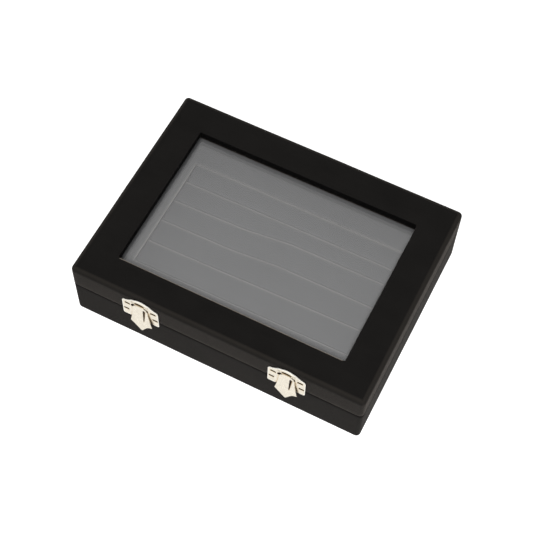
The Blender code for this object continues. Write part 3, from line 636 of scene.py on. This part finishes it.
clear_glass = bpy.data.materials.new("clear glass")
clear_glass.use_nodes = True
clear_glass.node_tree.nodes.clear()
facing = add_node(clear_glass, "ShaderNodeLayerWeight", {"Blend": facing_blend}).outputs["Facing"]
values = {0: facing, 1: glass_mirror_power}
steep = add_node(clear_glass, "ShaderNodeMath", values, operation="POWER").outputs[0]
values = {"Value": steep, "To Min": glass_mirror_square_on}
mirror_share = add_node(clear_glass, "ShaderNodeMapRange", values)
through = add_node(clear_glass, "ShaderNodeBsdfTransparent", {"Color": glass_tint})
values = {"Color": (1, 1, 1, 1), "Roughness": glass_mirror_roughness}
mirrored = add_node(clear_glass, "ShaderNodeBsdfGlossy", values)
values = {0: mirror_share.outputs["Result"], 1: through.outputs[0], 2: mirrored.outputs[0]}
pane_shader = add_node(clear_glass, "ShaderNodeMixShader", values)
add_node(clear_glass, "ShaderNodeOutputMaterial", {"Surface": pane_shader.outputs[0]})
give_finish("glass_pane", clear_glass)

# Beads that hold the glass
# Four mitred strips of board wrapped in black velvet, pressed in under the pane and glued to the
# lid's walls. Their lower inner edge is rounded, as on a quarter round moulding.
bead_round = 0.0006
bead_segments = 3
bead_foot_round = 0.0030
bead_foot_segments = 8
bead_length_share = 0.999
eased_angle = math.radians(40)

bead_inner = {
    "front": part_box("glass_front_bead")[1].y,
    "right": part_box("glass_right_bead")[0].x,
    "back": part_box("glass_back_bead")[0].y,
    "left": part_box("glass_left_bead")[1].x,
}


def is_sharp(edge):
    return edge.calc_face_angle(0) > eased_angle


for side in sides:
    low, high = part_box(f"glass_{side}_bead")
    inner = bead_inner[side]
    axis = 1 if side in ("front", "back") else 0
    work = sharp_block(low, high)
    for vertex in work.verts:
        if near(vertex.co[axis], inner):
            vertex.co.x = min(max(vertex.co.x, bead_inner["left"]), bead_inner["right"])
            vertex.co.y = min(max(vertex.co.y, bead_inner["front"]), bead_inner["back"])
    shares = (bead_length_share, 1, 1) if axis == 1 else (1, bead_length_share, 1)
    bmesh.ops.scale(work, vec=shares, verts=work.verts[:])
    round_edges(
        work, lambda edge: at_level(edge, low.z) and both(edge, lambda place: near(place[axis], inner)),
        bead_foot_round, bead_foot_segments,
    )
    round_edges(work, is_sharp, bead_round, bead_segments)
    bead = finish_piece(f"velvet_bead_{side}", work, black_velvet_lid, "lid")
    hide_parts(f"glass_{side}_bead")

# Catch plates
# Stamped sheet with a pale nickel finish, nailed to the lid's front wall. Two wings with pressed
# grooves rise without a step into a hood, whose mouth lets the head of the tongue through.
nickel = (0.60, 0.555, 0.465, 1)
nickel_dull = (0.48, 0.435, 0.35, 1)
# Brown and black painted as shade in hollows, and a pale colour painted as a highlight on edges
nickel_shade_brown = (0.40, 0.29, 0.15, 1)
nickel_shade_black = (0.020, 0.010, 0.004, 1)
nickel_edge_highlight = (0.84, 0.82, 0.76, 1)
nickel_roughness_low = 0.20
nickel_roughness_high = 0.38
hollow_roughness = 0.6
nickel_clouds_per_metre = 260
nickel_marks_per_metre = 2600
nickel_mark_stretch = (1, 1, 0.12)
nickel_mark_height = 0.000006
nickel_dull_share = 0.35
nickel_cloud_share = 0.6
brown_shade_depth = 0.5
sheet_metal = 0.0008
sheet_rim_segments = 2
cut_edge_angle = 1.2
shortest_cut_edge = 0.00001
plate_seat = 0.0003
plate_columns = 130
plate_rows = 90
plate_half = 0.0125
plate_corner = 0.0011
plate_rim_round = 0.00010
wing_top = 0.0452
wing_end_fall = 0.0008
wing_foot = 0.0277
middle_foot = 0.0294
middle_foot_half = 0.0062
hood_top = 0.0493
hood_half = 0.0115
hood_power = 0.80
hood_lift = 0.0005
hood_lift_width = 0.0020
mouth_half = 0.0060
mouth_foot = 0.0418
mouth_top = 0.0478
grooves = ((0.0342, 0.0080, 0.0120), (0.0414, 0.0069, 0.0110))
groove_half_width = 0.00110
groove_depth = 0.00065
# The grooves are painted dark: shade, with the patina that gathers in them
groove_shade_and_patina = 3.2
groove_shade_start = 0.1
knuckle_start = 0.0040
knuckle_end = 0.0062
knuckle_radius = 0.0009
knuckle_lift = 0.0006
# Width of the band along the plate's edges that is painted lighter as a highlight
edge_band_width = 0.00030
tongue_spring = 0.0415
tongue_shoulder = 0.0246
head_half = 0.0052
shoulder_half = 0.0075
side_power = 1.5
tongue_slide = 0.0006
tongue_shade = 0.55
tongue_shade_width = 0.0014
velvet_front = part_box("lid_velvet_cover")[0].y
pin_level = (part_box("catch_left_pin")[0].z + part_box("catch_left_pin")[1].z) / 2


def make_nickel():
    """Plated sheet: a warm pale metal, slightly clouded, with painted highlights on edges and painted shade
    in hollows.
    """
    material, shader = new_material("pale nickel", nickel_roughness_low)
    shader.inputs["Metallic"].default_value = 1.0
    clouds = grain(material, nickel_clouds_per_metre, 3)
    marks = grain(material, nickel_marks_per_metre, 2, nickel_mark_stretch)
    shade_and_highlight = add_node(material, "ShaderNodeAttribute", {}, attribute_name="shade_and_highlight").outputs["Fac"]
    depth = multiply(material, shade_and_highlight, -1)
    spans = (
        {"Value": shade_and_highlight},
        {"Value": depth, "From Max": brown_shade_depth},
        {"Value": depth, "From Min": brown_shade_depth},
    )
    edge_highlight, brown_shade, black_shade = [
        add_node(material, "ShaderNodeMapRange", span).outputs["Result"] for span in spans
    ]
    colour = blend_colours(material, multiply(material, clouds, nickel_dull_share), nickel, nickel_dull)
    colour = blend_colours(material, edge_highlight, colour, nickel_edge_highlight)
    colour = blend_colours(material, brown_shade, colour, nickel_shade_brown)
    colour = blend_colours(material, black_shade, colour, nickel_shade_black)
    material.node_tree.links.new(colour, shader.inputs["Base Color"])
    streaks = multiply(material, marks, 1 - nickel_cloud_share)
    mixed = add(material, multiply(material, clouds, nickel_cloud_share), streaks)
    span = {"Value": mixed, "To Min": nickel_roughness_low, "To Max": nickel_roughness_high}
    rough = add_node(material, "ShaderNodeMapRange", span).outputs["Result"]
    rough = add(material, rough, multiply(material, black_shade, hollow_roughness))
    material.node_tree.links.new(rough, shader.inputs["Roughness"])
    roughen(material, shader, marks, nickel_mark_height)
    return material


def mark_shade_and_highlight(piece, shade_and_highlight_at):
    """Marks the metal from -1, painted shade in a hollow, to 1, a painted highlight on an edge."""
    marks = piece.data.attributes.new("shade_and_highlight", "FLOAT", "POINT")
    for vertex, mark in zip(piece.data.vertices, marks.data):
        mark.value = shade_and_highlight_at(vertex.co, vertex.normal)


def eased_step(value):
    """Runs smoothly from 0 to 1 as the value does."""
    value = min(max(value, 0.0), 1.0)
    return value * value * (3 - 2 * value)


def corner_rise(x):
    """How far the plate's outline is drawn in by the round corner at its end."""
    past_corner = max(0.0, x - (plate_half - plate_corner))
    return plate_corner - math.sqrt(max(plate_corner**2 - past_corner**2, 0.0))


def plate_top(x):
    """The height of the plate's upper edge: the hood's hump between the wings."""
    x = min(abs(x), plate_half)
    hump = math.cos(math.pi / 2 * min(x / hood_half, 1.0)) ** (2 * hood_power)
    top = wing_top + (hood_top - wing_top) * hump - wing_end_fall * (x / plate_half) ** 3
    return top - corner_rise(x)


def plate_foot(x):
    """The height of the plate's lower edge, which is higher behind the tongue than at the wings."""
    x = min(abs(x), plate_half)
    share = eased_step((x - middle_foot_half) / plate_corner)
    return middle_foot + (wing_foot - middle_foot) * share + corner_rise(x)


def beyond_mouth(x, z):
    """Roughly how far a place on the plate lies outside the mouth."""
    up = max(z - mouth_foot, 0.0) * mouth_half / (mouth_top - mouth_foot)
    return math.hypot(x, up) - mouth_half


def in_groove(x, z):
    """1 along the middle of a pressed groove, falling to 0 at its sides and ends."""
    share = 0.0
    for level, start, end in grooves:
        across = 1 - abs(z - level) / groove_half_width
        along = min(abs(x) - start, end - abs(x)) / groove_half_width
        share = max(share, min(across, along, 1.0))
    return share


def on_knuckle(x, z):
    """1 on the ridge of the two humps beside the mouth that hold the pin's ends."""
    above = min(abs(z - pin_level) / knuckle_radius, 1.0)
    along = min(abs(x) - knuckle_start, knuckle_end - abs(x)) / (knuckle_radius / 2)
    return math.sqrt(1 - above**2) * eased_step(along)


def plate_out(x, z):
    """How far the plate's face stands out from the velvet."""
    lift = eased_step(1 - max(beyond_mouth(x, z), 0.0) / hood_lift_width)
    lift *= eased_step((z - middle_foot) / (mouth_foot - middle_foot))
    out = plate_seat + sheet_metal + hood_lift * lift + knuckle_lift * on_knuckle(x, z)
    return out - groove_depth * in_groove(x, z)


def tongue_half(z):
    """Half the tongue's width at a height, below its head."""
    fall = min(max((tongue_spring - z) / (tongue_spring - tongue_shoulder), 0.0), 1.0)
    return head_half + (shoulder_half - head_half) * fall**side_power


def plate_shade_and_highlight(x, z):
    """Painted shade at the mouth's rim, in the grooves and beside the tongue; painted highlight at edges."""
    # Painted shade in the gap under the hood's rim
    if z > mouth_foot - plate_rim_round and beyond_mouth(x, z) < plate_rim_round:
        return -1.0
    if in_groove(x, z) > groove_shade_start:
        return -min(1.0, groove_shade_and_patina * in_groove(x, z))
    beside_tongue = abs(x - tongue_slide) - tongue_half(z)
    if z < mouth_foot and 0 < beside_tongue < tongue_shade_width:
        return -tongue_shade * (1 - beside_tongue / tongue_shade_width)
    to_edge = min(plate_top(x) - z, z - plate_foot(x), plate_half - abs(x))
    return 1.0 if to_edge < edge_band_width else 0.0


def back_with_sheet(work):
    """Turns a shaped face to the front and gives it the sheet's thickness behind."""
    bmesh.ops.recalc_face_normals(work, faces=work.faces[:])
    if sum(face.normal.y for face in work.faces) > 0:
        bmesh.ops.reverse_faces(work, faces=work.faces[:])
    bmesh.ops.solidify(work, geom=work.faces[:], thickness=sheet_metal)


def is_cut_edge(edge):
    """Whether an edge is one where the sheet's face turns into its thickness."""
    return edge.calc_face_angle(0) > cut_edge_angle and edge.calc_length() > shortest_cut_edge


pale_nickel = make_nickel()
for side in ("left", "right"):
    low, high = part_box(f"catch_{side}_plate")
    catch_middle = (low.x + high.x) / 2
    work = bmesh.new()
    bmesh.ops.create_grid(work, x_segments=plate_columns, y_segments=plate_rows, size=1.0)
    for vertex in work.verts:
        x = vertex.co.x * plate_half
        foot = plate_foot(x)
        z = foot + (plate_top(x) - foot) * (vertex.co.y + 1) / 2
        vertex.co = (x, 0, z)
    hole = []
    for face in work.faces:
        middle = face.calc_center_median()
        if middle.z > mouth_foot and beyond_mouth(middle.x, middle.z) < 0:
            hole.append(face)
    bmesh.ops.delete(work, geom=hole, context="FACES")
    for vertex in work.verts:
        x, z = vertex.co.x, vertex.co.z
        if vertex.is_boundary and abs(beyond_mouth(x, z)) < edge_band_width and z > mouth_foot:
            pull = 1 - beyond_mouth(x, z) / mouth_half
            x, z = x * pull, mouth_foot + (z - mouth_foot) * pull
        vertex.co = (catch_middle + x, velvet_front - plate_out(x, z), z)
    back_with_sheet(work)
    for vertex in work.verts:
        vertex.co.y = min(vertex.co.y, velvet_front - plate_seat)
    round_edges(work, is_cut_edge, plate_rim_round, sheet_rim_segments)
    plate = finish_piece(f"catch_plate_{side}", work, pale_nickel, "lid")
    mark_shade_and_highlight(plate, lambda place, normal: plate_shade_and_highlight(place.x - catch_middle, place.z))
    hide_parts(f"catch_{side}_plate")

# Catch tongues and their pins
# A drop of the same sheet swings on a wire pin in the plate's mouth. A tube behind its head runs
# round the pin, a dart is pressed in beside its middle, and it runs out to a blunt point.
tongue_columns = 72
tongue_rows = 100
tongue_tip = 0.0170
tongue_middle = 0.0370
tongue_top = 0.0462
head_power = 2.2
foot_powers = (1.05, 1.55)
foot_bluntness = 0.08
foot_notch = 0.0007
tongue_flare = 0.0005
tongue_face_off_pin = 0.00095
tongue_rim_round = 0.00012
front_ease_depth = 0.00022
dart_foot = 0.0280
dart_top = 0.0440
dart_left_at_foot = 0.0016
dart_left_at_top = 0.0021
dart_width_at_top = 0.0024
dart_foot_width_share = 0.3
dart_ease_at_foot = 6
dart_ease_at_top = 8
dart_depth = 0.00065
# Painted shade on the dart's steep wall, on the tongue's rim and on its back
dart_shade_at_foot = 3.4
dart_shade_fall = 1.2
facing_fully = 0.97
back_shade = 0.15
rim_shade = 0.35
rim_shade_in_mouth = 0.9
tube_radius = 0.00085
tube_wall = 0.00025
tube_half_length = 0.0030
# Painted shade on the tube, heaviest on its top under the hood
tube_shade = 0.2
tube_shade_on_top = 0.8
tube_shade_start = 0.35
tube_shade_span = 0.4
wire_sides = 32
wire_smooth_degrees = 50
pin_radius = 0.0004
pin_half = 0.0056


def in_dart(x, z):
    """1 at the foot of the dart's steep wall, falling to 0 along its slope."""
    rise = (z - dart_foot) / (dart_top - dart_foot)
    left = dart_left_at_foot + (dart_left_at_top - dart_left_at_foot) * rise
    width = dart_width_at_top * min(1.0, dart_foot_width_share + (1 - dart_foot_width_share) * rise)
    if not 0 < rise < 1 or x < left:
        return 0.0
    ends = eased_step(rise * dart_ease_at_foot) * eased_step((1 - rise) * dart_ease_at_top)
    return max(0.0, 1 - (x - left) / width) * ends


def tongue_foot(u):
    """The height of the foot's edge, which is drawn in to the right of its blunt point."""
    side_share = math.hypot(u, foot_bluntness) - foot_bluntness
    side_share /= math.hypot(1, foot_bluntness) - foot_bluntness
    rise = 1 - (1 - side_share) ** (foot_powers[0] if u < 0 else foot_powers[1])
    notch = foot_notch * math.sin(math.pi * u) ** 2 if u > 0 else 0.0
    return tongue_tip + (tongue_shoulder - tongue_tip) * rise + notch


def flare_at(z):
    """How much further out the tongue's face stands at a height than it does at its pin."""
    down = max((pin_level - z) / (pin_level - tongue_tip), 0.0)
    return tongue_flare * down**3


def tongue_shade_and_highlight(x, z, behind, back_facing):
    """Painted shade in the dart, on the rim and behind; a painted highlight where the front's edge is eased.
    """
    hollow = in_dart(x, z)
    if hollow > 0:
        rise = (z - dart_foot) / (dart_top - dart_foot)
        return -min(1.0, hollow * (dart_shade_at_foot - dart_shade_fall * rise))
    if back_facing > facing_fully:
        return -back_shade
    if behind > front_ease_depth:
        return -rim_shade_in_mouth if z < tongue_middle or z > tongue_spring else -rim_shade
    return 1.0 if back_facing > -facing_fully else 0.0


def tube_painted_shade(normal):
    """Painted shade all round, darker on top where the hood's rim shades it."""
    return -tube_shade - tube_shade_on_top * eased_step((normal.z - tube_shade_start) / tube_shade_span)


for side in ("left", "right"):
    pin_low, pin_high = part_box(f"catch_{side}_pin")
    pin_middle = (pin_low.x + pin_high.x) / 2
    pin_out = velvet_front - (pin_low.y + pin_high.y) / 2
    tongue_centre = pin_middle + tongue_slide
    face_out = pin_out + tongue_face_off_pin
    work = bmesh.new()
    bmesh.ops.create_grid(work, x_segments=tongue_columns, y_segments=tongue_rows, size=1.0)
    for vertex in work.verts:
        u, v = vertex.co.x, (vertex.co.y + 1) / 2
        bottom = tongue_foot(u)
        top = tongue_spring + (tongue_top - tongue_spring) * (1 - abs(u) ** head_power) ** (1 / head_power)
        z = bottom + v * (top - bottom)
        x = u * tongue_half(z)
        out = face_out + flare_at(z) - dart_depth * in_dart(x, z)
        vertex.co = (tongue_centre + x, velvet_front - out, z)
    back_with_sheet(work)
    for vertex in work.verts:
        above = abs(vertex.co.z - pin_level)
        reach = tube_radius - tube_wall
        if above < reach:
            clear = velvet_front - pin_out - math.sqrt(reach**2 - above**2)
            vertex.co.y = min(vertex.co.y, clear)
    round_edges(work, is_cut_edge, tongue_rim_round, sheet_rim_segments)
    tongue = finish_piece(f"catch_tongue_{side}", work, pale_nickel, f"tongue_{side}")
    face_line = velvet_front - face_out
    mark_shade_and_highlight(
        tongue, lambda place, normal: tongue_shade_and_highlight(
            place.x - tongue_centre, place.z, place.y - face_line + flare_at(place.z), normal.y
        ),
    )
    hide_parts(f"catch_{side}_tongue")
    pin_place = Matrix.Translation((pin_middle, velvet_front - pin_out, pin_level))
    pin_place = pin_place @ Matrix.Rotation(math.pi / 2, 4, "Y")
    work = bmesh.new()
    bmesh.ops.create_cone(
        work, segments=wire_sides, radius1=pin_radius, radius2=pin_radius, depth=2 * pin_half,
        matrix=pin_place, cap_ends=True,
    )
    pin = finish_piece(
        f"catch_wire_pin_{side}", work, pale_nickel, "lid", wire_smooth_degrees
    )
    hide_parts(f"catch_{side}_pin")
    work = bmesh.new()
    bmesh.ops.create_cone(
        work, segments=wire_sides, radius1=tube_radius, radius2=tube_radius,
        depth=2 * tube_half_length, matrix=pin_place, cap_ends=False,
    )
    bmesh.ops.solidify(work, geom=work.faces[:], thickness=tube_wall)
    tube = finish_piece(f"tongue_tube_{side}", work, pale_nickel, f"tongue_{side}")
    mark_shade_and_highlight(tube, lambda place, normal: tube_painted_shade(normal))

# Strikers, hinge leaves and hinge pins
# The small plates that the tongues snap over, the two butt hinges behind, and the wire pins that
# the hinges turn on. All are plain cut sheet and wire in the same finish; the sheet has eased edges.
metal_edge_ease = 0.0001
metal_edge_segments = 2
flat_angle = math.radians(0.5)


def eased_copy(name, node, body):
    """A copy of a solid with its facets merged and its edges eased. It stands for the solid."""
    work = bmesh.new()
    work.from_mesh(frame["nodes"][node].data)
    bmesh.ops.remove_doubles(work, verts=work.verts[:], dist=same_place)
    bmesh.ops.dissolve_limit(
        work, angle_limit=flat_angle, use_dissolve_boundaries=False,
        verts=work.verts[:], edges=work.edges[:],
    )
    round_edges(work, is_sharp, metal_edge_ease, metal_edge_segments)
    piece = finish_piece(name, work, pale_nickel, body)
    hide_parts(node)


for side in ("left", "right"):
    eased_copy(f"striker_{side}", f"catch_{side}_striker", "base")
    eased_copy(f"hinge_leaf_base_{side}", f"hinge_{side}_base_leaf", "base")
    eased_copy(f"hinge_leaf_lid_{side}", f"hinge_{side}_lid_leaf", "lid")
    give_finish(f"hinge_{side}_pin", pale_nickel)

# Nails
# Short round headed pins of the same metal, driven through the plates and leaves into the board
# walls. Two hold each plate, striker and hinge leaf.
nail_head_steps = 5
nail_sides = 20
nail_head_height_share = 0.39
nail_shank_share = 0.44
nail_merge = 1e-7

for name in sorted(frame["nodes"]):
    if "_nail_" not in name:
        continue
    low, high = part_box(name)
    body = frame["nodes"][name]["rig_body"]
    faces_front = high.y < 0
    tip, crown = (high.y, low.y) if faces_front else (low.y, high.y)
    head_radius = (high.x - low.x) / 2
    head_height = nail_head_height_share * head_radius
    shank_radius = nail_shank_share * head_radius
    seat = abs(crown - tip) - head_height
    outline = [(0.0, 0.0), (shank_radius, shank_radius), (shank_radius, seat)]
    for step in range(nail_head_steps + 1):
        angle = math.pi / 2 * step / nail_head_steps
        outline.append((head_radius * math.cos(angle), seat + head_height * math.sin(angle)))
    work = bmesh.new()
    corners = [work.verts.new((radius, height, 0)) for radius, height in outline]
    wire = [work.edges.new(pair) for pair in zip(corners, corners[1:])]
    bmesh.ops.spin(
        work, geom=corners + wire, cent=(0, 0, 0), axis=(0, 1, 0), angle=2 * math.pi,
        steps=nail_sides, use_merge=True,
    )
    bmesh.ops.remove_doubles(work, verts=work.verts[:], dist=nail_merge)
    if faces_front:
        bmesh.ops.scale(work, vec=(1, -1, 1), verts=work.verts[:])
    bmesh.ops.translate(work, verts=work.verts[:], vec=((low.x + high.x) / 2, tip, (low.z + high.z) / 2))
    bmesh.ops.recalc_face_normals(work, faces=work.faces[:])
    nail = finish_piece(f"{name}_round", work, pale_nickel, body, wire_smooth_degrees)
    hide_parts(name)

# Table, light and camera
# A plain white table top in white surroundings. The main soft lamp stands above the front, with
# two weak ones behind right and at the left, and the camera looks down from the front right.
table_size = 6.0
table_drop = 0.0002
table_roughness = 0.9
table_white = (0.82, 0.82, 0.82, 1)
table_glow = 0.80
surround_strength = 0.18
lamp_places = (
    ("soft lamp above the front", (0.23, -0.62, 1.10), 0.28, 11.0),
    ("soft lamp behind right", (0.45, 0.85, 0.80), 0.7, 0.30),
    ("soft lamp at the left", (-0.90, 0.25, 0.70), 0.7, 0.6),
)
camera_place = (0.17637, -0.37583, 0.73695)
camera_turn_degrees = (29.924, -0.929, 26.950)
camera_lens = 86.98
camera_sensor = 36.0
camera_nearest = 0.01


def seen_directly(tree):
    """1 for a ray that shows the surroundings to the camera, in a mirror or through glass."""
    path = tree.nodes.new("ShaderNodeLightPath")
    total = path.outputs["Is Camera Ray"]
    for name in ("Is Glossy Ray", "Is Transmission Ray"):
        larger = tree.nodes.new("ShaderNodeMath")
        larger.operation = "MAXIMUM"
        tree.links.new(total, larger.inputs[0])
        tree.links.new(path.outputs[name], larger.inputs[1])
        total = larger.outputs[0]
    return total


world = bpy.data.worlds.new("white surroundings")
bpy.context.scene.world = world
world.use_nodes = True
tree = world.node_tree
strength = tree.nodes.new("ShaderNodeMapRange")
tree.links.new(seen_directly(tree), strength.inputs["Value"])
strength.inputs["To Min"].default_value = surround_strength
strength.inputs["To Max"].default_value = 1.0
background = tree.nodes["Background"]
background.inputs["Color"].default_value = (1, 1, 1, 1)
tree.links.new(strength.outputs["Result"], background.inputs["Strength"])

work = bmesh.new()
bmesh.ops.create_grid(work, x_segments=1, y_segments=1, size=table_size / 2)
bmesh.ops.translate(work, verts=work.verts[:], vec=(0, 0, -table_drop))
mesh = bpy.data.meshes.new("table top")
work.to_mesh(mesh)
work.free()
table_top = bpy.data.objects.new("table_top", mesh)
bpy.context.scene.collection.objects.link(table_top)
table_paint, shader = new_material("white table paint", table_roughness)
shader.inputs["Base Color"].default_value = table_white
shader.inputs["Specular IOR Level"].default_value = 0.0
tree = table_paint.node_tree
glow = add_node(table_paint, "ShaderNodeEmission", {"Color": (1, 1, 1, 1)})
tree.links.new(multiply(table_paint, seen_directly(tree), table_glow), glow.inputs["Strength"])
lit = add_node(table_paint, "ShaderNodeAddShader", {0: shader.outputs[0], 1: glow.outputs[0]})
tree.links.new(lit.outputs[0], tree.nodes["Material Output"].inputs["Surface"])
mesh.materials.append(table_paint)

for name, place, size, power in lamp_places:
    lamp = bpy.data.lights.new(name, "AREA")
    lamp.shape = "DISK"
    lamp.size = size
    lamp.energy = power
    holder = bpy.data.objects.new(name, lamp)
    bpy.context.scene.collection.objects.link(holder)
    holder.location = place
    holder.rotation_euler = (-Vector(place)).to_track_quat("-Z", "Y").to_euler()

camera = bpy.data.objects.new("camera", bpy.data.cameras.new("camera"))
bpy.context.scene.collection.objects.link(camera)
camera.location = camera_place
camera.rotation_euler = [math.radians(angle) for angle in camera_turn_degrees]
camera.data.sensor_width = camera_sensor
camera.data.lens = camera_lens
camera.data.clip_start = camera_nearest
bpy.context.scene.camera = camera
bpy.context.scene.view_settings.view_transform = "Standard"
